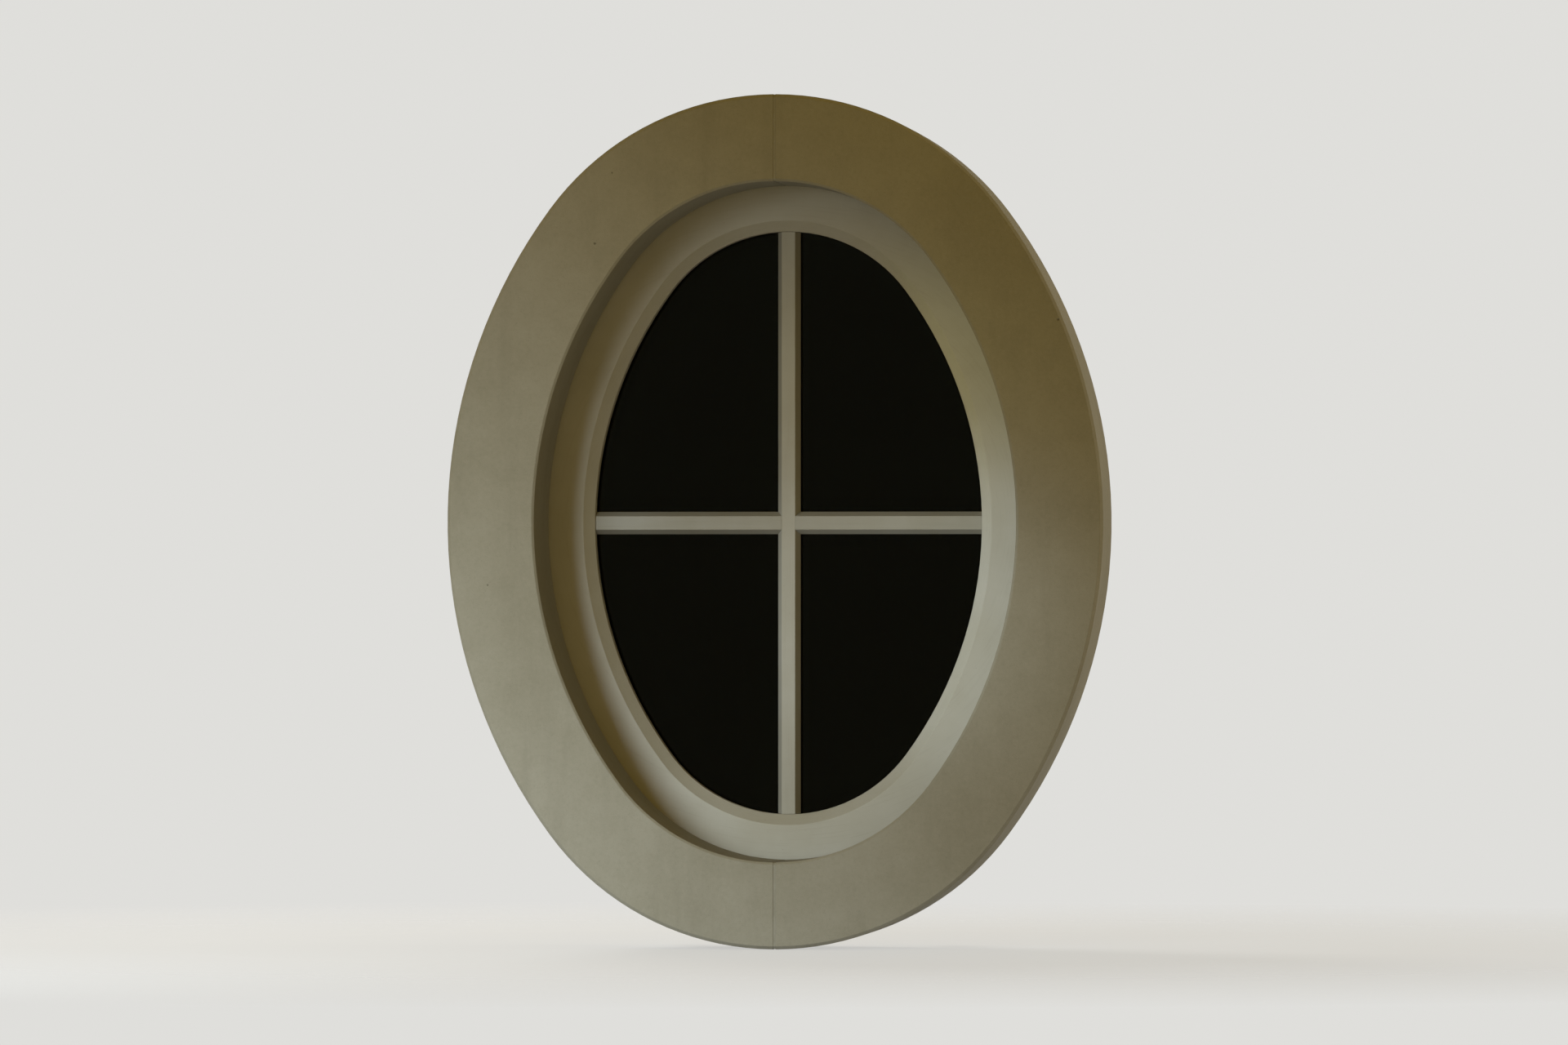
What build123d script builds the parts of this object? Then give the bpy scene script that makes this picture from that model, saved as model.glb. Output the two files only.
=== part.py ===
from build123d import *
import os
from math import atan2, copysign, cos, degrees, radians, sin

# Oval oculus window: a stone surround in two halves with a fixed timber frame behind it, an
# insulating glass unit and a cross of glazing bars. Millimetres. +X is to the right as seen
# from outside, +Y goes into the building and +Z is up. The origin is the window's centre, in
# the plane of the wall that the fixing lugs and the bracket feet are screwed to.

# Stone surround. The crown's curve is its radius as a share of half the opening's width.
opening_width = 640.0
opening_height = 900.0
crown_curve = 0.8
surround_face = 115.0
surround_depth = 170.0
outer_arris = 4.0
inner_arris = 3.0
stone_joint = 3.0
mortar_recess = 0.4

# Flat steel dowels, one across each of the two stone joints
dowel_length = 100.0
dowel_width = 80.0
dowel_thickness = 6.0

# Compressed tape between the surround and the frame
tape_gap = 6.0
tape_width = 12.0
tape_setback = 5.0

# Timber frame
frame_sight = 60.0
frame_cover = 20.0
frame_depth = 92.0
stop_depth = 37.0
bevel_width = 14.0
bevel_depth = 18.0
rebate_width = 18.0

# Glass unit
pane_thickness = 4.0
pane_cavity = 16.0
pane_edge_gap = 4.0
glazing_gap = 3.0
spacer_width = 11.5

# Blocks in the gap round the glass unit, where the oval faces these ways
block_length = 60.0
block_turns = (20, 70, 110, 160, 250, 290)

# Glazing bars
bar_width = 30.0
bar_face = 18.0
bar_height = 18.0
bar_lip = 4.0
bar_tape_gap = 1.0
bar_tape_width = 24.0
spacer_bar_width = 26.0
spacer_bar_depth = 10.0

# Arris of the glazing bead on the room side
bead_arris = 5.0

# The lugs' and the brackets' names, in the order of their turns
corner_names = ("upper_right", "upper_left", "lower_left", "lower_right")

# Frame lugs, where the oval faces these ways
lug_turns = (35, 145, 215, 325)
lug_width = 36.0
lug_thickness = 3.0
lug_overlap = 46.0
lug_reach = 50.0
lug_end_distance = 17.0
lug_hole_radius = 4.5

# Surround brackets, where the oval faces these ways
bracket_turns = (60, 120, 240, 300)
bracket_distance = 50.0
bracket_tail = 60.0
bracket_foot = 40.0
bracket_width = 40.0
bracket_thickness = 4.0
bracket_bend = 4.0
bracket_hole_radius = 5.5

# Clearance between pieces that fit into each other
fit_gap = 0.3

# Distances of each oval from the edge of the surround's opening, outwards
surround_edge = surround_face
frame_edge = frame_cover
sight_edge = -frame_sight
rebate_edge = sight_edge + rebate_width
pane_edge = rebate_edge - pane_edge_gap
spacer_edge = pane_edge - spacer_width

# Depths from the wall plane, negative towards the outside
frame_back = -lug_thickness
frame_front = frame_back - frame_depth
surround_back = frame_front - tape_gap
surround_front = surround_back - surround_depth
stop_back = frame_front + stop_depth
outer_pane_front = stop_back + glazing_gap
outer_pane_back = outer_pane_front + pane_thickness
inner_pane_front = outer_pane_back + pane_cavity
inner_pane_back = inner_pane_front + pane_thickness
bead_front = inner_pane_back + glazing_gap
bead_depth = frame_back - bead_front
reach = 2 * (opening_width + opening_height)

# The opening's oval has four arcs. The crown and the base share one radius, the two sides
# another, and the centres are placed so that the arcs run into each other smoothly.
crown_radius = crown_curve * opening_width / 2
crown_centre = opening_height / 2 - crown_radius
width_step = opening_width / 2 - crown_radius
side_centre = (crown_centre**2 - width_step**2) / (2 * width_step)
side_radius = opening_width / 2 + side_centre
arc_joint = degrees(atan2(crown_centre, side_centre))

os.makedirs("parts", exist_ok=True)


class Oval(BaseSketchObject):
    """The four-centred oval that lies this far outside the edge of the opening."""

    def __init__(self, edge, mode=Mode.ADD):
        side = side_radius + edge
        crown = crown_radius + edge
        with BuildSketch() as outline:
            with BuildLine():
                CenterArc((-side_centre, 0), side, -arc_joint, 2 * arc_joint)
                CenterArc((0, crown_centre), crown, arc_joint, 180 - 2 * arc_joint)
                CenterArc((side_centre, 0), side, 180 - arc_joint, 2 * arc_joint)
                CenterArc((0, -crown_centre), crown, 180 + arc_joint, 180 - 2 * arc_joint)
            make_face()
        super().__init__(outline.sketch, mode=mode)


def at_depth(depth):
    """The upright plane across the window at this depth, facing out."""
    return Plane(origin=(0, depth, 0), x_dir=(1, 0, 0), z_dir=(0, -1, 0))


def oval_point(edge, turn):
    """The point where an oval faces this way, in degrees from +X, and its normal there."""
    normal = Vector(cos(radians(turn)), 0, sin(radians(turn)))
    if abs(normal.Z) < sin(radians(arc_joint)):
        centre = Vector(-copysign(side_centre, normal.X), 0, 0)
        return centre + normal * (side_radius + edge), normal
    centre = Vector(0, 0, copysign(crown_centre, normal.Z))
    return centre + normal * (crown_radius + edge), normal


def oval_ring(inner, outer, back, depth):
    """A flat oval ring between two ovals, from its back plane outwards."""
    with BuildPart() as ring:
        with BuildSketch(at_depth(back)):
            Oval(outer)
            Oval(inner, mode=Mode.SUBTRACT)
        extrude(amount=depth)
    return ring


def finish(piece, label):
    """Label a piece and write it to its own file."""
    piece.part.label = label
    export_step(piece.part, f"parts/{label}.step")


# Stone surround: one oval ring, cut into two halves at the crown and the base
with BuildPart() as surround_ring:
    with BuildSketch(at_depth(surround_back)):
        Oval(surround_edge)
        Oval(0, mode=Mode.SUBTRACT)
    extrude(amount=surround_depth)
    stone_face = surround_ring.faces().sort_by(Axis.Y)[0]
    chamfer(stone_face.outer_wire().edges(), length=outer_arris)
    stone_face = surround_ring.faces().sort_by(Axis.Y)[0]
    chamfer(stone_face.inner_wires()[0].edges(), length=inner_arris)

dowel_height = (opening_height + surround_face) / 2
dowel_depth = (surround_front + surround_back) / 2
dowel_points = [(dowel_depth, -dowel_height), (dowel_depth, dowel_height)]
left_end = Plane.YZ.offset(-stone_joint / 2)
tail_middle = (2 * surround_back - bracket_tail) / 2
left_bracket_turns = [turn for turn in bracket_turns if 90 < turn < 270]


def bracket_section(turn):
    """The plane along a bracket's middle: x away from the frame, y into the building."""
    point, normal = oval_point(frame_edge, turn)
    return Plane(origin=point, x_dir=normal, z_dir=normal.cross(Vector(0, 1, 0)))


with BuildPart() as surround_left:
    add(surround_ring.part)
    split(bisect_by=left_end, keep=Keep.BOTTOM)
    with BuildSketch(left_end):
        with Locations(*dowel_points):
            Rectangle(dowel_width + 2 * fit_gap, dowel_thickness + 2 * fit_gap)
    extrude(amount=-(dowel_length - stone_joint) / 2 - fit_gap, mode=Mode.SUBTRACT)
    for turn in left_bracket_turns:
        with BuildSketch(bracket_section(turn)):
            with Locations((bracket_distance - bracket_thickness / 2, tail_middle)):
                Rectangle(bracket_thickness + 2 * fit_gap, bracket_tail)
        extrude(amount=bracket_width / 2 + fit_gap, both=True, mode=Mode.SUBTRACT)
finish(surround_left, "surround_left")

with BuildPart() as surround_right:
    mirror(surround_left.part, about=Plane.YZ)
finish(surround_right, "surround_right")

# Mortar in the crown and base joints, a little back from the stone's faces
with BuildPart() as crown_mortar:
    with BuildSketch(left_end):
        with Locations((dowel_depth, dowel_height)):
            Rectangle(surround_depth - 2 * mortar_recess, surround_face - 2 * mortar_recess)
            Rectangle(dowel_width, dowel_thickness, mode=Mode.SUBTRACT)
    extrude(amount=stone_joint)
    front_edges = crown_mortar.faces().sort_by(Axis.Y)[0].edges().filter_by(Axis.X)
    chamfer(front_edges.sort_by(Axis.Z)[-1], length=outer_arris)
    front_edges = crown_mortar.faces().sort_by(Axis.Y)[0].edges().filter_by(Axis.X)
    chamfer(front_edges.sort_by(Axis.Z)[0], length=inner_arris)
finish(crown_mortar, "crown_mortar")

with BuildPart() as base_mortar:
    mirror(crown_mortar.part, about=Plane.XY)
finish(base_mortar, "base_mortar")

with BuildPart() as stone_dowels:
    with BuildSketch(Plane.YZ.offset(-dowel_length / 2)):
        with Locations(*dowel_points):
            Rectangle(dowel_width, dowel_thickness)
    extrude(amount=dowel_length)
finish(stone_dowels, "stone_dowels")

# Joint tape between the back of the stone and the front of the frame
joint_tape = oval_ring(tape_setback, tape_setback + tape_width, frame_front, tape_gap)
finish(joint_tape, "joint_tape")

# Timber frame: outer oval, sight oval with its bevel, and the rebate for glass and bead
with BuildPart() as frame:
    with BuildSketch(at_depth(frame_back)):
        Oval(frame_edge)
        Oval(sight_edge, mode=Mode.SUBTRACT)
    extrude(amount=frame_depth)
    with BuildSketch(at_depth(frame_back)):
        Oval(rebate_edge)
    extrude(amount=frame_back - stop_back, mode=Mode.SUBTRACT)
    front_face = frame.faces().sort_by(Axis.Y)[0]
    chamfer(
        front_face.inner_wires()[0].edges(),
        length=bevel_width,
        length2=bevel_depth,
        reference=front_face,
    )
finish(frame, "frame")

# Glass unit: two panes and the spacer that seals them together
for name, back in (("outer_pane", outer_pane_back), ("inner_pane", inner_pane_back)):
    with BuildPart() as pane:
        with BuildSketch(at_depth(back)):
            Oval(pane_edge)
        extrude(amount=pane_thickness)
    finish(pane, name)

spacer = oval_ring(spacer_edge, pane_edge, inner_pane_front, pane_cavity)
finish(spacer, "pane_spacer")

# Glazing tape on both sides of the unit
outer_tape = oval_ring(sight_edge, pane_edge, outer_pane_front, glazing_gap)
finish(outer_tape, "outer_glazing_tape")

inner_tape = oval_ring(sight_edge, pane_edge, bead_front, glazing_gap)
finish(inner_tape, "inner_glazing_tape")

# Glazing blocks in the gap between the glass unit and the rebate
with BuildPart() as glazing_blocks:
    with BuildSketch(at_depth(inner_pane_back)):
        for turn in block_turns:
            point = oval_point(pane_edge, turn)[0]
            with Locations((point.X, point.Z)):
                Rectangle(4 * pane_edge_gap, block_length, rotation=turn)
        Oval(rebate_edge - fit_gap, mode=Mode.INTERSECT)
        Oval(pane_edge + fit_gap, mode=Mode.SUBTRACT)
    extrude(amount=2 * pane_thickness + pane_cavity)
finish(glazing_blocks, "glazing_blocks")


def bar_profile(glass, outwards):
    """A glazing bar's section: x across the bar, y from the glass; outwards is -1 or 1."""
    foot = glass + outwards * bar_tape_gap
    Polygon(
        (-bar_width / 2, foot),
        (-bar_width / 2, foot + outwards * bar_lip),
        (-bar_face / 2, foot + outwards * bar_height),
        (bar_face / 2, foot + outwards * bar_height),
        (bar_width / 2, foot + outwards * bar_lip),
        (bar_width / 2, foot),
        align=None,
    )


to_the_left = Plane(origin=(0, 0, 0), x_dir=(0, 0, 1), z_dir=(-1, 0, 0))


def glazing_bars(prefix, glass, outwards):
    """The upright bar and the two level half bars on one side of the glass."""
    with BuildPart() as upright:
        with BuildSketch(Plane.XY):
            bar_profile(glass, outwards)
        extrude(amount=reach, both=True)
        with BuildSketch(at_depth(0)):
            Oval(sight_edge - fit_gap)
        extrude(amount=reach, both=True, mode=Mode.INTERSECT)
    finish(upright, f"{prefix}_bar_upright")
    with BuildPart() as left:
        with BuildSketch(to_the_left):
            bar_profile(glass, outwards)
        extrude(amount=reach)
        with BuildSketch(at_depth(0)):
            Oval(sight_edge - fit_gap)
        extrude(amount=reach, both=True, mode=Mode.INTERSECT)
        add(upright.part, mode=Mode.SUBTRACT)
    finish(left, f"{prefix}_bar_left")
    with BuildPart() as right:
        mirror(left.part, about=Plane.YZ)
    finish(right, f"{prefix}_bar_right")


glazing_bars("outer", outer_pane_front, -1)
glazing_bars("inner", inner_pane_back, 1)

# Bonding tape under the bars: one upright strip and two level ones on each side
for name, back in (
    ("outer_bar_tape", outer_pane_front),
    ("inner_bar_tape", inner_pane_back + bar_tape_gap),
):
    with BuildPart() as bar_tape:
        with BuildSketch(at_depth(back)):
            Rectangle(reach, bar_tape_width)
            Rectangle(bar_tape_width + 2 * fit_gap, reach, mode=Mode.SUBTRACT)
            Rectangle(bar_tape_width, reach)
            Oval(sight_edge - fit_gap, mode=Mode.INTERSECT)
        extrude(amount=bar_tape_gap)
    finish(bar_tape, name)

# Spacer bars between the panes
cavity_middle = (outer_pane_back + inner_pane_front) / 2
spacer_bar_back = cavity_middle + spacer_bar_depth / 2
with BuildPart() as spacer_bar_upright:
    with BuildSketch(at_depth(spacer_bar_back)):
        Rectangle(spacer_bar_width, reach)
        Oval(spacer_edge - fit_gap, mode=Mode.INTERSECT)
    extrude(amount=spacer_bar_depth)
finish(spacer_bar_upright, "spacer_bar_upright")

with BuildPart() as spacer_bar_left:
    with BuildSketch(at_depth(spacer_bar_back)):
        with Locations((-(reach + spacer_bar_width) / 2, 0)):
            Rectangle(reach, spacer_bar_width)
        Oval(spacer_edge - fit_gap, mode=Mode.INTERSECT)
    extrude(amount=spacer_bar_depth)
finish(spacer_bar_left, "spacer_bar_left")

with BuildPart() as spacer_bar_right:
    mirror(spacer_bar_left.part, about=Plane.YZ)
finish(spacer_bar_right, "spacer_bar_right")


def glazing_bead(*corners):
    """The length of glazing bead inside these corners, before its ends are eased."""
    with BuildPart() as bead:
        with BuildSketch(at_depth(frame_back)):
            Polygon(*corners, align=None)
            Oval(rebate_edge - fit_gap, mode=Mode.INTERSECT)
            Oval(sight_edge, mode=Mode.SUBTRACT)
        extrude(amount=bead_depth)
        room_face = bead.faces().sort_by(Axis.Y)[-1]
        room_arcs = room_face.edges().filter_by(GeomType.CIRCLE)
        chamfer(room_arcs.sort_by(SortBy.RADIUS)[0], length=bead_arris)
    return bead


# Glazing bead: four lengths, one to each arc of the oval
joint_run = reach * cos(radians(arc_joint))
joint_rise = reach * sin(radians(arc_joint))
crown_joint = crown_centre + fit_gap
bead_top = glazing_bead(
    (0, crown_joint),
    (joint_run, crown_joint + joint_rise),
    (-joint_run, crown_joint + joint_rise),
)
finish(bead_top, "bead_top")

bead_right = glazing_bead(
    (fit_gap, crown_centre),
    (fit_gap + joint_run, crown_centre + joint_rise),
    (fit_gap + joint_run, -crown_centre - joint_rise),
    (fit_gap, -crown_centre),
)
finish(bead_right, "bead_right")

with BuildPart() as bead_bottom:
    mirror(bead_top.part, about=Plane.XY)
finish(bead_bottom, "bead_bottom")

with BuildPart() as bead_left:
    mirror(bead_right.part, about=Plane.YZ)
finish(bead_left, "bead_left")

# Frame lugs: flat strips on the back of the frame, with a hole for the wall's screw
for name, turn in zip(corner_names, lug_turns):
    point, normal = oval_point(frame_edge, turn)
    with BuildPart() as lug:
        with BuildSketch(Plane(origin=point, x_dir=normal, z_dir=(0, -1, 0))):
            with Locations(((lug_reach - lug_overlap) / 2, 0)):
                Rectangle(lug_overlap + lug_reach, lug_width)
            with Locations((lug_reach - lug_end_distance, 0)):
                Circle(lug_hole_radius, mode=Mode.SUBTRACT)
        extrude(amount=lug_thickness)
    finish(lug, f"fixing_lug_{name}")

# Surround brackets: a tail in a slot in the stone's back, and a foot on the wall plane
foot_end = bracket_distance + bracket_foot
foot_middle = (bracket_distance + bracket_bend + foot_end) / 2
for name, turn in zip(corner_names, bracket_turns):
    with BuildPart() as bracket:
        with BuildSketch(bracket_section(turn)):
            with BuildLine():
                FilletPolyline(
                    (bracket_distance, surround_back - bracket_tail),
                    (bracket_distance, -bracket_thickness),
                    (foot_end, -bracket_thickness),
                    radius=bracket_bend,
                )
                offset(amount=bracket_thickness, side=Side.LEFT)
            make_face()
        extrude(amount=bracket_width / 2, both=True)
        point, normal = oval_point(frame_edge, turn)
        with Locations(Plane(point + normal * foot_middle, x_dir=normal, z_dir=(0, 1, 0))):
            Hole(bracket_hole_radius, depth=bracket_thickness)
    finish(bracket, f"surround_bracket_{name}")
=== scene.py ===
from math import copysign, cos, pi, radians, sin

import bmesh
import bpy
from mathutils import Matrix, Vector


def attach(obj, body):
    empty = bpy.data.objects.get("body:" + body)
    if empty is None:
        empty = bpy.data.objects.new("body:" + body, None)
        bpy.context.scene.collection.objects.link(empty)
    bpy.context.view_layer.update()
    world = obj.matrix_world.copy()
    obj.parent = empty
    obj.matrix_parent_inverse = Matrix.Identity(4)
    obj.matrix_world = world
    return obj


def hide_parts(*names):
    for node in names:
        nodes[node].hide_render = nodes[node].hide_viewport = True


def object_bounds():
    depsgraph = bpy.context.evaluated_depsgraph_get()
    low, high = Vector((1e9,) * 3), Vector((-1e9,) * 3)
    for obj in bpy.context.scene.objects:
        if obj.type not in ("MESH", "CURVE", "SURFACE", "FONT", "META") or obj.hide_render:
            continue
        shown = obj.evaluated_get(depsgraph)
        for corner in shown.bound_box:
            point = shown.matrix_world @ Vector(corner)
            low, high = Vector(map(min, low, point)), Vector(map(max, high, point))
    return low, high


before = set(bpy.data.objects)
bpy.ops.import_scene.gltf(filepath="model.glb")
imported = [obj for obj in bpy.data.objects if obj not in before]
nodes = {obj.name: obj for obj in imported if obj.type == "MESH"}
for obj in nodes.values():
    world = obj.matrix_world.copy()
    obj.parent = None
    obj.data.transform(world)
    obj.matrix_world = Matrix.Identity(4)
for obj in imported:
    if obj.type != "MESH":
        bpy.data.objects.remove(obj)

# Oval oculus window: the finish of its stone, paint, glass and metal, the screws of its bead,
# its fixing lugs with their screws, and a plain studio round it. Metres, in the frame of the
# loaded model: +X is to the right as seen from outside, +Y goes into the building, +Z is up.

cad_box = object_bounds()
window_low, window_high = cad_box
centre = (window_low + window_high) / 2

# Camera: the photograph's viewing angle, from a little to the right and a little below
CAMERA_AZIMUTH = 5.5
CAMERA_ELEVATION = -0.5
CAMERA_DISTANCE = 14.8
CAMERA_LENS = 255.0
SENSOR_WIDTH = 36.0

# Colours of what is seen behind the window, of the dim light from all round and of the lamps
BACKGROUND = (0.74, 0.735, 0.71)
AMBIENT = (0.385, 0.262, 0.038)
KEY = (0.785, 0.907, 1.0)
WARM = (1.0, 0.93, 0.37)
REAR = (1.0, 0.98, 0.95)
SIDE = (0.94, 0.97, 1.0)

# Floor: a disc just under the window, that fades out between two shares of its radius. It
# glows with the first strength on the window, and shows with the second.
FLOOR_RADIUS = 2.4
FLOOR_STEPS = 96
FLOOR_GAP = 0.0005
FLOOR_FADE = (0.35, 0.98)
FLOOR_COLOUR = (0.144, 0.144, 0.144)
FLOOR_MOTTLE = 1.02
FLOOR_GLOW = 0.36
FLOOR_SEEN = 0.72

# The opening's four-centred oval, with the turn in degrees where its arcs meet
CROWN_RADIUS = 0.256
CROWN_CENTRE = 0.194
SIDE_RADIUS = 0.58203
SIDE_CENTRE = 0.26203
ARC_JOINT = 36.515

# The plane along Y of the frame's back, which the screw heads and the lugs lie on
FRAME_BACK = -0.003

# The bead's screws: how far outside the opening's oval they stand, here inside it, and their
# turns round it in degrees. Each has another one opposite.
BEAD_SCREW_EDGE = -0.0487
BEAD_SCREW_TURNS = (-30, -18, -6, 6, 18, 30, 48, 76, 104, 132)

# Fixing lugs: how far outside the opening's oval the frame's edge is, the turns at which they
# stand, and their ends and holes, measured outwards from that edge
LUG_EDGE = 0.020
LUG_TURNS = {"upper_right": 35, "upper_left": 145, "lower_left": 215, "lower_right": 325}
LUG_ENDS = (-0.046, 0.050)
LUG_HALF_WIDTH = 0.018
LUG_THICKNESS = 0.003
LUG_EDGE_ROUND = 0.0004
WALL_HOLE_MIDDLE = 0.033
WALL_HOLE_RADIUS = 0.0045
LUG_SCREWS = (-0.034, -0.012)
LUG_SCREW_HOLE = 0.0050

# Screw heads: radius, height of the face's rim and rise of its dome. The steps go round a
# head or a hole, and the rings lie on a head's face.
BEAD_HEAD = (0.0034, 0.0012, 0.0005)
LUG_HEAD = (0.0044, 0.0027, 0.0)
ROUND_STEPS = 48
HEAD_RINGS = 16

# A head's face and its cross recess, as shares of the radius, and its side and the recess's
# depth, as shares of the height
HEAD_FACE = 0.94
RECESS_HALF_WIDTH = 0.13
RECESS_REACH = 0.55
RECESS_SLOPE = 0.06
HEAD_SIDE = 0.7
RECESS_DEPTH = 0.7

# How the cross recesses turn: for each degree of a bead screw's place, and from one screw of a
# lug to the next, in degrees
BEAD_RECESS_TURN = 37
LUG_RECESS_TURN = 25

# Edges of the screws that are sharper than this, in degrees, aren't shaded smooth
SHARP_EDGE = 35

# Base colours, linear
STONE_LIGHT = (0.278, 0.261, 0.208)
STONE_DARK = (0.239, 0.222, 0.169)
STONE_PALE = (0.333, 0.317, 0.261)
# Darker stone tone used for dirt and stains, and also as painted shade in corners, joints and pits
STONE_DIRT_AND_SHADE = (0.094, 0.081, 0.053)
MORTAR_LIGHT = (0.289, 0.272, 0.219)
MORTAR_DARK = (0.256, 0.239, 0.186)
PAINT_LIGHT = (0.418, 0.398, 0.336)
PAINT_DARK = (0.380, 0.358, 0.290)
# Dark paint tone used for dirt specks and brush marks, and also as painted shade in corners and joints
PAINT_DIRT_AND_SHADE = (0.111, 0.094, 0.067)
# The glass's body is painted dark as shade, and its reflection tint is a painted reflection
GLASS_PAINTED_SHADE = (0.05, 0.055, 0.05)
GLASS_PAINTED_REFLECTION = (0.055, 0.036, 0.008)
TAPE_DARK = (0.010, 0.010, 0.009)
TAPE_LIGHT = (0.033, 0.032, 0.029)
SEAL_DARK = (0.012, 0.012, 0.012)
SEAL_LIGHT = (0.035, 0.034, 0.032)
ALUMINIUM_DARK = (0.50, 0.50, 0.49)
ALUMINIUM_LIGHT = (0.64, 0.64, 0.62)
STEEL_DARK = (0.42, 0.43, 0.44)
STEEL_LIGHT = (0.58, 0.59, 0.60)
STEEL_DULL = (0.36, 0.36, 0.35)
SCREW_DARK = (0.24, 0.235, 0.22)
SCREW_LIGHT = (0.40, 0.39, 0.36)
BLOCK_DARK = (0.045, 0.067, 0.122)
BLOCK_LIGHT = (0.067, 0.10, 0.178)

# The bars have the frame's paint, drawn darker as painted shade: shares of its tone
UPRIGHT_PAINTED_SHADE = 0.86
LEVEL_PAINTED_SHADE = 0.74

# Specular levels of stone and mortar, of the satin paint and of the floor
STONE_GLOSS = 0.15
PAINT_GLOSS = 0.18
FLOOR_GLOSS = 0.1

# Pits in the stone: cells to a metre, the share of cells that have none, and a pit's greatest
# radius and its soft edge, as shares of a cell
PIT_SCALE = 42.0
PIT_FREE = 0.90
PIT_RADIUS = 0.085
PIT_EDGE = 0.03

# Brush marks: how much they are drawn out along a bar, and their run round the oval in metres
# for each radian
STROKE_STRETCH = 0.025
STROKE_RUN = 0.012


def socket_value(tree, socket, value):
    """Link a socket to another node's output, or set it."""
    if isinstance(value, bpy.types.NodeSocket):
        tree.links.new(value, socket)
    else:
        socket.default_value = value


def scaled(values, share):
    """A share of each value."""
    return [share * value for value in values]


class Tree:
    """A material's node tree, with a short method for each kind of node."""

    def __init__(self, name):
        self.material = bpy.data.materials.new(name)
        self.material.use_nodes = True
        self.node_tree = self.material.node_tree
        self.node_tree.nodes.clear()

    def node(self, kind, inputs=None, **settings):
        made = self.node_tree.nodes.new(kind)
        for key, value in settings.items():
            setattr(made, key, value)
        for key, value in (inputs or {}).items():
            socket_value(self.node_tree, made.inputs[key], value)
        return made

    def place(self):
        """Position on the surface, in metres from the window's origin."""
        return self.node("ShaderNodeTexCoord").outputs["Object"]

    def stretch(self, vector, scale, offset=(0.0, 0.0, 0.0)):
        inputs = {"Vector": vector, "Scale": scale, "Location": offset}
        return self.node("ShaderNodeMapping", inputs).outputs["Vector"]

    def noise(self, vector, scale, detail, roughness):
        inputs = {"Vector": vector, "Scale": scale, "Detail": detail, "Roughness": roughness}
        return self.node("ShaderNodeTexNoise", inputs).outputs["Fac"]

    def cells(self, vector, scale):
        """Distance from the middle of the nearest cell, in cells."""
        inputs = {"Vector": vector, "Scale": scale}
        return self.node("ShaderNodeTexVoronoi", inputs).outputs["Distance"]

    def cell_pick(self, vector, scale):
        """A value of its own for each cell, from 0 to 1."""
        inputs = {"Vector": vector, "Scale": scale}
        colour = self.node("ShaderNodeTexVoronoi", inputs).outputs["Color"]
        return self.node("ShaderNodeSeparateColor", {"Color": colour}).outputs["Red"]

    def math(self, operation, first, second=0.0):
        made = self.node("ShaderNodeMath", operation=operation)
        socket_value(self.node_tree, made.inputs[0], first)
        socket_value(self.node_tree, made.inputs[1], second)
        return made.outputs["Value"]

    def fit(self, value, low, high, to_low=0.0, to_high=1.0):
        """Map a range of values to another, held at its ends."""
        inputs = {
            "Value": value,
            "From Min": low,
            "From Max": high,
            "To Min": to_low,
            "To Max": to_high,
        }
        return self.node("ShaderNodeMapRange", inputs).outputs["Result"]

    def mix(self, factor, first, second):
        made = self.node("ShaderNodeMix", data_type="RGBA")
        colours = [socket for socket in made.inputs if socket.type == "RGBA"]
        socket_value(self.node_tree, made.inputs["Factor"], factor)
        for socket, colour in zip(colours, (first, second)):
            if not isinstance(colour, bpy.types.NodeSocket):
                colour = (*colour, 1.0)
            socket_value(self.node_tree, socket, colour)
        return [socket for socket in made.outputs if socket.type == "RGBA"][0]

    def stain(self, colour, other, pattern, low, high, share):
        """Mix in a share of another colour, where a pattern goes from low to high."""
        return self.mix(self.fit(pattern, low, high, to_high=share), colour, other)

    def corners(self, distance):
        """How hidden a point is in a corner or joint, from 0 in the open to 1."""
        inputs = {"Distance": distance}
        open_share = self.node("ShaderNodeAmbientOcclusion", inputs, samples=8)
        return self.math("SUBTRACT", 1.0, open_share.outputs["AO"])

    def painted_corner_shade(self, colour, shade_colour, pattern, reach, least, low, high, share):
        """Painted shade in corners and joints: darker where a point is more hidden, broken up by a
        pattern.
        """
        uneven = self.fit(pattern, 0.3, 0.7, to_low=least, to_high=1.3)
        amount = self.fit(self.math("MULTIPLY", self.corners(reach), uneven), low, high)
        return self.mix(self.math("MULTIPLY", amount, share), colour, shade_colour)

    def bump(self, height, strength, distance, normal=None):
        inputs = {"Height": height, "Strength": strength, "Distance": distance}
        if normal is not None:
            inputs["Normal"] = normal
        return self.node("ShaderNodeBump", inputs).outputs["Normal"]

    def rounded(self, radius):
        """A normal that rounds sharp edges a little."""
        return self.node("ShaderNodeBevel", {"Radius": radius}, samples=4).outputs["Normal"]

    def finish(self, inputs):
        shader = self.node("ShaderNodeBsdfPrincipled", inputs)
        output = self.node("ShaderNodeOutputMaterial")
        self.node_tree.links.new(shader.outputs["BSDF"], output.inputs["Surface"])
        return self.material


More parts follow.
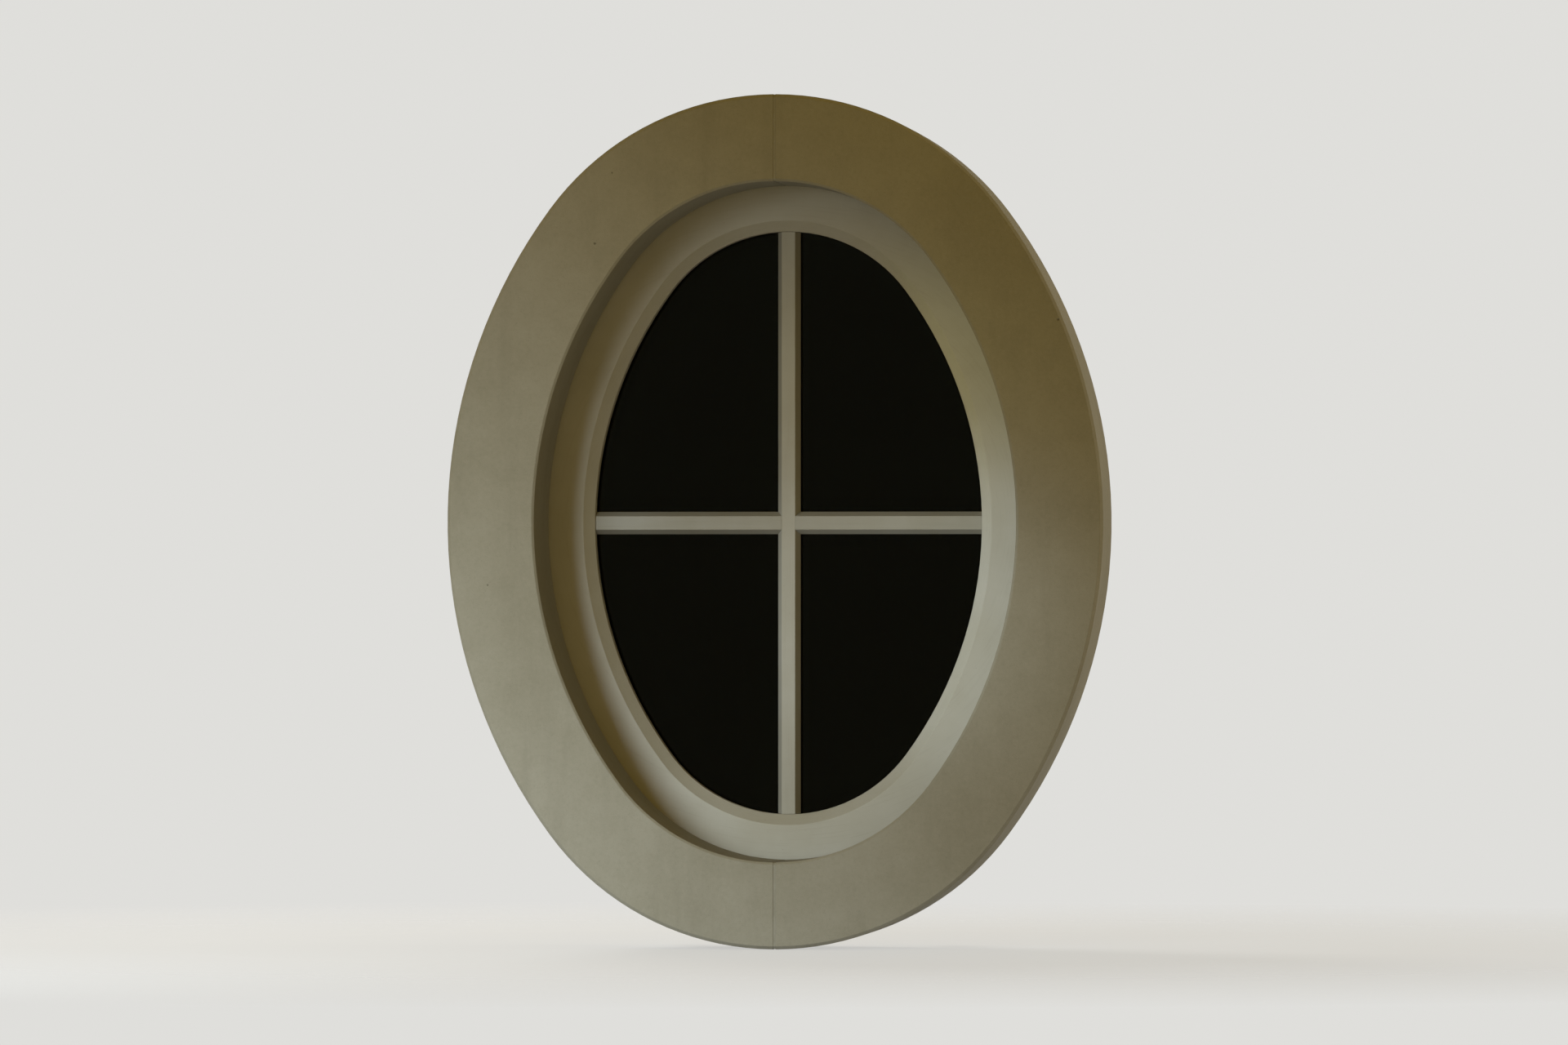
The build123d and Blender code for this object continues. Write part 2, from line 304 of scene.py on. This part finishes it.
def stone(name, offset):
    """Smooth cream stone: soft blotches, fine grain, a few pits darkened inside as painted shade, and
    painted shade in the corners.
    """
    tree = Tree(name)
    place = tree.stretch(tree.place(), (1.0, 1.0, 1.0), offset)
    blotches = tree.noise(place, scale=5.5, detail=3.0, roughness=0.55)
    clouds = tree.noise(place, scale=30.0, detail=4.0, roughness=0.6)
    grain = tree.noise(place, scale=700.0, detail=2.0, roughness=0.6)
    mottle = tree.noise(place, scale=170.0, detail=4.0, roughness=0.7)
    runs = tree.noise(tree.stretch(place, (1.0, 1.0, 0.14)), scale=24.0, detail=4.0, roughness=0.6)
    swell = tree.noise(place, scale=60.0, detail=4.0, roughness=0.6)

    # Only some cells hold a pit, each of its own size
    pit_size = tree.fit(tree.cell_pick(place, PIT_SCALE), PIT_FREE, 1.0, to_high=PIT_RADIUS)
    inside = tree.math("SUBTRACT", pit_size, tree.cells(place, PIT_SCALE))
    pit = tree.fit(inside, 0.0, PIT_EDGE)

    tone = tree.math("ADD", tree.math("MULTIPLY", blotches, 0.6), tree.math("MULTIPLY", clouds, 0.4))
    colour = tree.mix(tree.fit(tone, 0.36, 0.66), STONE_DARK, STONE_LIGHT)
    colour = tree.stain(colour, STONE_DIRT_AND_SHADE, grain, 0.60, 0.78, share=0.28)
    colour = tree.stain(colour, STONE_DIRT_AND_SHADE, mottle, 0.52, 0.72, share=0.10)
    colour = tree.stain(colour, STONE_PALE, mottle, 0.48, 0.32, share=0.14)
    colour = tree.stain(colour, STONE_DIRT_AND_SHADE, runs, 0.52, 0.74, share=0.12)
    # Painted shade: darker in corners and joints, where less light reaches
    colour = tree.painted_corner_shade(colour, STONE_DIRT_AND_SHADE, clouds, reach=0.03, least=0.6, low=0.4, high=1.1,
                              share=0.45)
    # Painted shade: each pit is darkened inside its hollow
    colour = tree.mix(tree.math("MULTIPLY", pit, 0.6), colour, STONE_DIRT_AND_SHADE)
    normal = tree.bump(swell, strength=0.10, distance=0.004, normal=tree.rounded(0.0015))
    normal = tree.bump(grain, strength=0.22, distance=0.0008, normal=normal)
    normal = tree.bump(tree.math("SUBTRACT", 1.0, pit), strength=0.8, distance=0.0015, normal=normal)
    return tree.finish({
        "Base Color": colour,
        "Roughness": tree.fit(clouds, 0.3, 0.7, to_low=0.78, to_high=0.92),
        "Specular IOR Level": STONE_GLOSS,
        "Normal": normal,
    })


def mortar():
    """Sandy pointing mortar, in nearly the stone's own tone."""
    tree = Tree("mortar_finish")
    place = tree.place()
    sand = tree.noise(place, scale=1400.0, detail=2.0, roughness=0.7)
    tone = tree.noise(place, scale=40.0, detail=3.0, roughness=0.6)
    colour = tree.mix(tree.fit(tone, 0.35, 0.65), MORTAR_DARK, MORTAR_LIGHT)
    return tree.finish({
        "Base Color": tree.stain(colour, STONE_DIRT_AND_SHADE, sand, 0.55, 0.75, share=0.2),
        "Roughness": 0.95,
        "Specular IOR Level": STONE_GLOSS,
        "Normal": tree.bump(sand, strength=0.6, distance=0.001),
    })


def stroke_place(tree, direction):
    """Coordinates that run with the brush: round the oval, up the bar or along it."""
    place = tree.place()
    if direction == "upright":
        return tree.stretch(place, (1.0, 1.0, STROKE_STRETCH))
    if direction == "level":
        return tree.stretch(place, (STROKE_STRETCH, 1.0, 1.0))
    axes = tree.node("ShaderNodeSeparateXYZ", {"Vector": place}).outputs
    turn = tree.math("ABSOLUTE", tree.math("ARCTAN2", axes["Z"], axes["X"]))
    squares = [tree.math("MULTIPLY", axes[axis], axes[axis]) for axis in ("X", "Z")]
    distance = tree.math("POWER", tree.math("ADD", *squares), 0.5)
    inputs = {"X": tree.math("MULTIPLY", turn, STROKE_RUN), "Y": axes["Y"], "Z": distance}
    return tree.node("ShaderNodeCombineXYZ", inputs).outputs["Vector"]


def paint(direction, shade):
    """Satin off-white paint on timber: brush marks, faint tone changes, painted shade in corners, and a
    tone darkened by a share as painted shade.
    """
    tree = Tree(f"paint_{direction}")
    place = tree.place()
    strokes = tree.noise(stroke_place(tree, direction), scale=520.0, detail=3.0, roughness=0.55)
    tone = tree.noise(place, scale=9.0, detail=4.0, roughness=0.6)
    specks = tree.noise(place, scale=420.0, detail=1.0, roughness=0.5)
    swell = tree.noise(place, scale=25.0, detail=2.0, roughness=0.5)
    # The tone is scaled down by the piece's share of painted shade
    colour = tree.mix(tree.fit(tone, 0.35, 0.65), scaled(PAINT_DARK, shade), scaled(PAINT_LIGHT, shade))
    colour = tree.stain(colour, PAINT_DIRT_AND_SHADE, strokes, 0.55, 0.8, share=0.10)
    colour = tree.stain(colour, PAINT_DIRT_AND_SHADE, specks, 0.74, 0.80, share=0.35)
    # Painted shade: darker in corners and joints, where less light reaches
    colour = tree.painted_corner_shade(colour, PAINT_DIRT_AND_SHADE, tone, reach=0.012, least=0.7, low=0.45, high=1.2,
                              share=0.5)
    normal = tree.bump(strokes, strength=0.16, distance=0.0006, normal=tree.rounded(0.0012))
    normal = tree.bump(swell, strength=0.10, distance=0.003, normal=normal)
    return tree.finish({
        "Base Color": colour,
        "Roughness": tree.fit(strokes, 0.3, 0.7, to_low=0.38, to_high=0.52),
        "Specular IOR Level": PAINT_GLOSS,
        "Normal": normal,
    })


def glass():
    """Clean glass with faint smears. Its dark body is painted shade for the unlit room behind it, and
    its reflections are tinted dim and warm as a painted reflection.
    """
    tree = Tree("glass_finish")
    place = tree.place()
    smears = tree.noise(tree.stretch(place, (1.0, 1.0, 0.35)), scale=14.0, detail=5.0, roughness=0.65)
    waves = tree.noise(place, scale=3.0, detail=1.0, roughness=0.5)
    return tree.finish({
        "Base Color": (*GLASS_PAINTED_SHADE, 1.0),
        "Roughness": tree.fit(smears, 0.45, 0.75, to_low=0.01, to_high=0.05),
        "Transmission Weight": 1.0,
        "IOR": 1.5,
        "Specular Tint": (*GLASS_PAINTED_REFLECTION, 1.0),
        "Normal": tree.bump(waves, strength=0.04, distance=0.01),
    })


def rubber(name, dark, light, cell_scale):
    """Foam tape or sealing compound: small cells and a dusty tone."""
    tree = Tree(name)
    place = tree.place()
    dust = tree.noise(place, scale=60.0, detail=4.0, roughness=0.6)
    return tree.finish({
        "Base Color": tree.mix(tree.fit(dust, 0.35, 0.7), dark, light),
        "Roughness": 0.9,
        "Normal": tree.bump(tree.cells(place, cell_scale), strength=0.5, distance=0.0008),
    })


def aluminium():
    """Mill-finish spacer bars with a fine grain."""
    tree = Tree("spacer_finish")
    place = tree.place()
    grain = tree.noise(place, scale=800.0, detail=2.0, roughness=0.5)
    tone = tree.noise(place, scale=20.0, detail=2.0, roughness=0.5)
    return tree.finish({
        "Base Color": tree.mix(tree.fit(tone, 0.3, 0.7), ALUMINIUM_DARK, ALUMINIUM_LIGHT),
        "Metallic": 1.0,
        "Roughness": tree.fit(grain, 0.3, 0.7, to_low=0.32, to_high=0.5),
        "Normal": tree.bump(grain, strength=0.1, distance=0.0004),
    })


def galvanised():
    """Galvanised steel: grey spangle, a few dull patches."""
    tree = Tree("steel_finish")
    place = tree.place()
    spangle = tree.cell_pick(place, scale=300.0)
    dull = tree.noise(place, scale=60.0, detail=5.0, roughness=0.65)
    colour = tree.mix(tree.fit(spangle, 0.0, 1.0, to_low=0.1, to_high=0.9), STEEL_DARK, STEEL_LIGHT)
    roughness = tree.fit(tree.math("ADD", spangle, dull), 0.3, 1.5, to_low=0.32, to_high=0.62)
    return tree.finish({
        "Base Color": tree.stain(colour, STEEL_DULL, dull, 0.45, 0.8, share=0.45),
        "Metallic": 0.9,
        "Roughness": roughness,
        "Normal": tree.bump(spangle, strength=0.08, distance=0.0003, normal=tree.rounded(0.0004)),
    })


def screw_steel():
    """Dull zinc-plated screws, unevenly worn."""
    tree = Tree("screw_finish")
    wear = tree.noise(tree.place(), scale=900.0, detail=3.0, roughness=0.6)
    return tree.finish({
        "Base Color": tree.mix(tree.fit(wear, 0.35, 0.65), SCREW_DARK, SCREW_LIGHT),
        "Metallic": 0.9,
        "Roughness": tree.fit(wear, 0.3, 0.7, to_low=0.3, to_high=0.5),
        "Normal": tree.bump(wear, strength=0.08, distance=0.0002),
    })


def plastic():
    """Moulded plastic blocks with a faint grain."""
    tree = Tree("block_finish")
    place = tree.place()
    grain = tree.noise(place, scale=500.0, detail=2.0, roughness=0.5)
    tone = tree.noise(place, scale=30.0, detail=2.0, roughness=0.5)
    return tree.finish({
        "Base Color": tree.mix(tree.fit(tone, 0.3, 0.7), BLOCK_DARK, BLOCK_LIGHT),
        "Roughness": tree.fit(grain, 0.3, 0.7, to_low=0.4, to_high=0.6),
        "Normal": tree.bump(grain, strength=0.15, distance=0.0005),
    })


def dress(names, material):
    """Give CAD nodes their material."""
    for name in names:
        for slot in nodes[name].material_slots:
            slot.material = material


def oval_point(edge, turn):
    """Where an oval this far outside the opening faces this way, and its direction there."""
    way = Vector((cos(radians(turn)), 0.0, sin(radians(turn))))
    if abs(way.z) < sin(radians(ARC_JOINT)):
        middle = Vector((-copysign(SIDE_CENTRE, way.x), 0.0, 0.0))
        return middle + way * (SIDE_RADIUS + edge), way
    middle = Vector((0.0, 0.0, copysign(CROWN_CENTRE, way.z)))
    return middle + way * (CROWN_RADIUS + edge), way


def circle_turns():
    """Angles of evenly spaced points round a circle."""
    return [2 * pi * step / ROUND_STEPS for step in range(ROUND_STEPS)]


def add_head(heads, place, turn, shape):
    """A round screw head that faces the room, with a cross recess."""
    radius, height, dome = shape
    first = Vector((cos(turn), 0.0, sin(turn)))
    second = Vector((-sin(turn), 0.0, cos(turn)))
    arm_half = RECESS_HALF_WIDTH * radius
    arm_reach = RECESS_REACH * radius
    slope = RECESS_SLOPE * radius
    depth = RECESS_DEPTH * height + dome

    def vertex(distance, angle, lift):
        u, v = distance * cos(angle), distance * sin(angle)
        return heads.verts.new(place + first * u + second * v + Vector((0.0, lift, 0.0)))

    def top(distance, angle):
        u, v = abs(distance * cos(angle)), abs(distance * sin(angle))
        inside = min(1.0, max(0.0, (arm_half - min(u, v)) / slope))
        inside *= min(1.0, max(0.0, (arm_reach - max(u, v)) / slope))
        return height + dome * (1.0 - (distance / radius) ** 2) - depth * inside

    turns = circle_turns()
    rings = []
    for number in range(1, HEAD_RINGS + 1):
        distance = HEAD_FACE * radius * number / HEAD_RINGS
        rings.append([vertex(distance, angle, top(distance, angle)) for angle in turns])
    for lift in (HEAD_SIDE * height, 0.0):
        rings.append([vertex(radius, angle, lift) for angle in turns])
    hub = vertex(0.0, 0.0, top(0.0, 0.0))
    for step in range(ROUND_STEPS):
        after = (step + 1) % ROUND_STEPS
        heads.faces.new((hub, rings[0][after], rings[0][step]))
        for inner, outer in zip(rings, rings[1:]):
            heads.faces.new((inner[step], inner[after], outer[after], outer[step]))


def add_piece(name, mesh, material):
    """Make a piece from a mesh, on the window's body."""
    mesh.materials.clear()
    mesh.materials.append(material)
    piece = bpy.data.objects.new(name, mesh)
    bpy.context.scene.collection.objects.link(piece)
    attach(piece, "root")
    return piece


def add_screws(name, heads, finish):
    """Make a piece from screw heads, shaded smooth up to their sharp edges."""
    bmesh.ops.recalc_face_normals(heads, faces=heads.faces)
    mesh = bpy.data.meshes.new(name)
    heads.to_mesh(mesh)
    heads.free()
    mesh.shade_smooth()
    mesh.set_sharp_from_angle(angle=radians(SHARP_EDGE))
    add_piece(name, mesh, finish)


def bead_screws(finish):
    """Pan-head screws along the glazing bead."""
    heads = bmesh.new()
    for turn in BEAD_SCREW_TURNS:
        for way in (turn, turn + 180):
            point, _ = oval_point(BEAD_SCREW_EDGE, way)
            point.y = FRAME_BACK
            add_head(heads, point, radians(BEAD_RECESS_TURN * turn), BEAD_HEAD)
    add_screws("bead_screws", heads, finish)


def outline(curve, points):
    """Add a closed outline to a flat curve."""
    spline = curve.splines.new("POLY")
    spline.points.add(len(points) - 1)
    for point, (x, y) in zip(spline.points, points):
        point.co = (x, y, 0.0, 1.0)
    spline.use_cyclic_u = True


def circle(middle, radius):
    """Points round a hole whose middle is on the lug's long axis."""
    return [(middle + radius * cos(turn), radius * sin(turn)) for turn in circle_turns()]


def lug_mesh(name):
    """A flat plate with its holes, lengthwise along X."""
    curve = bpy.data.curves.new(name, "CURVE")
    curve.dimensions = "2D"
    curve.fill_mode = "BOTH"
    curve.extrude = LUG_THICKNESS / 2 - LUG_EDGE_ROUND
    curve.bevel_depth = LUG_EDGE_ROUND
    curve.bevel_resolution = 1
    curve.offset = -LUG_EDGE_ROUND
    low, high = LUG_ENDS
    outline(curve, [(low, -LUG_HALF_WIDTH), (high, -LUG_HALF_WIDTH),
                    (high, LUG_HALF_WIDTH), (low, LUG_HALF_WIDTH)])
    outline(curve, circle(WALL_HOLE_MIDDLE, WALL_HOLE_RADIUS))
    for middle in LUG_SCREWS:
        outline(curve, circle(middle, LUG_SCREW_HOLE))
    flat = bpy.data.objects.new(name, curve)
    mesh = bpy.data.meshes.new_from_object(flat)
    bpy.data.objects.remove(flat)
    return mesh


def lug(name, turn, plate_finish, screw_finish):
    """A fixing lug with its two flush screws, in place of the strip that has no holes for them."""
    point, way = oval_point(LUG_EDGE, turn)
    across = Vector((-way.z, 0.0, way.x))
    middle = Vector((point.x, FRAME_BACK + LUG_THICKNESS / 2, point.z))
    mesh = lug_mesh(name)
    for vertex in mesh.vertices:
        x, y, z = vertex.co
        vertex.co = middle + way * x + across * y + Vector((0.0, -z, 0.0))
    mesh.shade_flat()
    plate = add_piece(f"lug_plate_{name}", mesh, plate_finish)
    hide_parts(f"fixing_lug_{name}")

    heads = bmesh.new()
    for number, distance in enumerate(LUG_SCREWS):
        place = point + way * distance
        place.y = FRAME_BACK
        add_head(heads, place, radians(turn + LUG_RECESS_TURN * number), LUG_HEAD)
    add_screws(f"lug_screws_{name}", heads, screw_finish)


def in_view(tree):
    """1 for rays from the camera, off a shiny face or through glass, and 0 for the rest."""
    rays = tree.nodes.new("ShaderNodeLightPath").outputs
    seen = rays["Is Camera Ray"]
    for other in ("Is Glossy Ray", "Is Transmission Ray"):
        either = tree.nodes.new("ShaderNodeMath")
        either.operation = "MAXIMUM"
        tree.links.new(seen, either.inputs[0])
        tree.links.new(rays[other], either.inputs[1])
        seen = either.outputs["Value"]
    return seen


def surroundings():
    """Pale where it is seen, and a dim warm light from all round for everything else."""
    world = bpy.data.worlds.new("studio_world")
    bpy.context.scene.world = world
    world.use_nodes = True
    tree = world.node_tree
    tree.nodes.clear()
    mixed = tree.nodes.new("ShaderNodeMixShader")
    tree.links.new(in_view(tree), mixed.inputs["Fac"])
    for socket, colour in zip(mixed.inputs[1:], (AMBIENT, BACKGROUND)):
        glow = tree.nodes.new("ShaderNodeBackground")
        glow.inputs["Color"].default_value = (*colour, 1.0)
        tree.links.new(glow.outputs["Background"], socket)
    output = tree.nodes.new("ShaderNodeOutputWorld")
    tree.links.new(mixed.outputs["Shader"], output.inputs["Surface"])


def camera():
    """The photograph's viewing angle, at a lens that fills the picture with the window."""
    azimuth, elevation = radians(CAMERA_AZIMUTH), radians(CAMERA_ELEVATION)
    back = Vector((sin(azimuth) * cos(elevation), -cos(azimuth) * cos(elevation), sin(elevation)))
    data = bpy.data.cameras.new("camera")
    data.sensor_width = SENSOR_WIDTH
    data.lens = CAMERA_LENS
    made = bpy.data.objects.new("camera", data)
    made.location = centre + CAMERA_DISTANCE * back
    made.rotation_euler = (-back).to_track_quat("-Z", "Y").to_euler()
    bpy.context.scene.collection.objects.link(made)
    bpy.context.scene.camera = made


def floor():
    """A pale round floor that fades out towards its edge."""
    mesh = bpy.data.meshes.new("studio_floor")
    disc = bmesh.new()
    bmesh.ops.create_circle(disc, cap_ends=True, segments=FLOOR_STEPS, radius=FLOOR_RADIUS)
    disc.to_mesh(mesh)
    disc.free()
    made = bpy.data.objects.new("studio_floor", mesh)
    made.location = (centre.x, centre.y, window_low.z - FLOOR_GAP)
    bpy.context.scene.collection.objects.link(made)

    tree = Tree("floor_finish")
    place = tree.place()
    distance = tree.node("ShaderNodeVectorMath", {0: place}, operation="LENGTH").outputs["Value"]
    fade_low, fade_high = scaled(FLOOR_FADE, FLOOR_RADIUS)
    grain = tree.noise(place, scale=25.0, detail=3.0, roughness=0.5)
    mottled = scaled(FLOOR_COLOUR, FLOOR_MOTTLE)
    mesh.materials.append(tree.finish({
        "Base Color": tree.mix(tree.fit(grain, 0.3, 0.7), FLOOR_COLOUR, mottled),
        "Roughness": 0.9,
        "Specular IOR Level": FLOOR_GLOSS,
        "Alpha": tree.fit(distance, fade_low, fade_high, to_low=1.0, to_high=0.0),
        "Emission Color": (*BACKGROUND, 1.0),
        "Emission Strength": tree.fit(in_view(tree.node_tree), 0.0, 1.0, FLOOR_GLOW, FLOOR_SEEN),
    }))


def add_light(data, place, target, power, colour):
    """Put a light in its place, pointed at its target. The camera doesn't see it."""
    data.energy = power
    data.color = colour
    made = bpy.data.objects.new(data.name, data)
    made.location = place
    made.rotation_euler = (Vector(target) - Vector(place)).to_track_quat("-Z", "Y").to_euler()
    made.visible_camera = False
    bpy.context.scene.collection.objects.link(made)


def soft_light(name, size, **settings):
    """A soft square light."""
    data = bpy.data.lights.new(name, "AREA")
    data.shape = "SQUARE"
    data.size = size
    add_light(data, **settings)


def soft_spot(name, spread, radius, **settings):
    """A round beam that fades from its middle to its edge; spread is its whole angle."""
    data = bpy.data.lights.new(name, "SPOT")
    data.spot_size = radians(spread)
    data.spot_blend = 1.0
    data.shadow_soft_size = radius
    add_light(data, **settings)


# The finish of every CAD piece
steel = galvanised()
screws = screw_steel()
tape = rubber("tape_finish", TAPE_DARK, TAPE_LIGHT, cell_scale=1600.0)
edge_seal = rubber("edge_seal_finish", SEAL_DARK, SEAL_LIGHT, cell_scale=2400.0)

dress(["surround_left"], stone("stone_left_finish", offset=(0.0, 0.0, 0.0)))
dress(["surround_right"], stone("stone_right_finish", offset=(3.1, 1.7, 0.4)))
dress(["crown_mortar", "base_mortar"], mortar())
dress(["frame", "bead_top", "bead_right", "bead_bottom", "bead_left"], paint("ring", shade=1.0))
dress(["outer_bar_upright", "inner_bar_upright"], paint("upright", shade=UPRIGHT_PAINTED_SHADE))
dress(["outer_bar_left", "outer_bar_right", "inner_bar_left", "inner_bar_right"],
      paint("level", shade=LEVEL_PAINTED_SHADE))
dress(["outer_pane", "inner_pane"], glass())
dress(["pane_spacer"], edge_seal)
dress(["spacer_bar_upright", "spacer_bar_left", "spacer_bar_right"], aluminium())
dress(["joint_tape", "outer_glazing_tape", "inner_glazing_tape", "outer_bar_tape",
       "inner_bar_tape"], tape)
dress(["glazing_blocks"], plastic())
dress(["stone_dowels"], steel)
dress([name for name in nodes if name.startswith(("fixing_lug", "surround_bracket"))], steel)

# The small fasteners
bead_screws(screws)
for corner, turn in LUG_TURNS.items():
    lug(corner, turn, steel, screws)

# The studio
bpy.context.scene.view_settings.view_transform = "Standard"
surroundings()
camera()
floor()

# As in the photograph, the main light is cool and comes from the left. It points past the
# window's lower left, so that its fading side falls on the upper right. Two narrow beams reach
# into the opening. Two soft lamps light the back and the right, which the photograph hides.
soft_spot("wide_light", place=(-1.55, -3.45, 0.12), target=(-2.01, -0.271, -1.69), spread=94.0,
          radius=0.72, power=1285.0, colour=KEY)
soft_spot("reveal_light", place=(-2.55, -2.55, -0.1), target=(0.27, -0.095, -0.13), spread=8.8,
          radius=0.08, power=335.0, colour=KEY)
soft_spot("frame_light", place=(-2.55, -2.55, -0.1), target=(0.25, -0.095, 0.20), spread=6.5,
          radius=0.08, power=97.0, colour=WARM)
soft_light("rear_light", place=(-1.7, 2.4, 1.5), target=(0.0, 0.0, 0.0), size=1.6, power=84.0,
           colour=REAR)
soft_light("side_light", place=(3.4, 0.5, 0.9), target=(0.3, -0.1, 0.0), size=1.6, power=27.0,
           colour=SIDE)
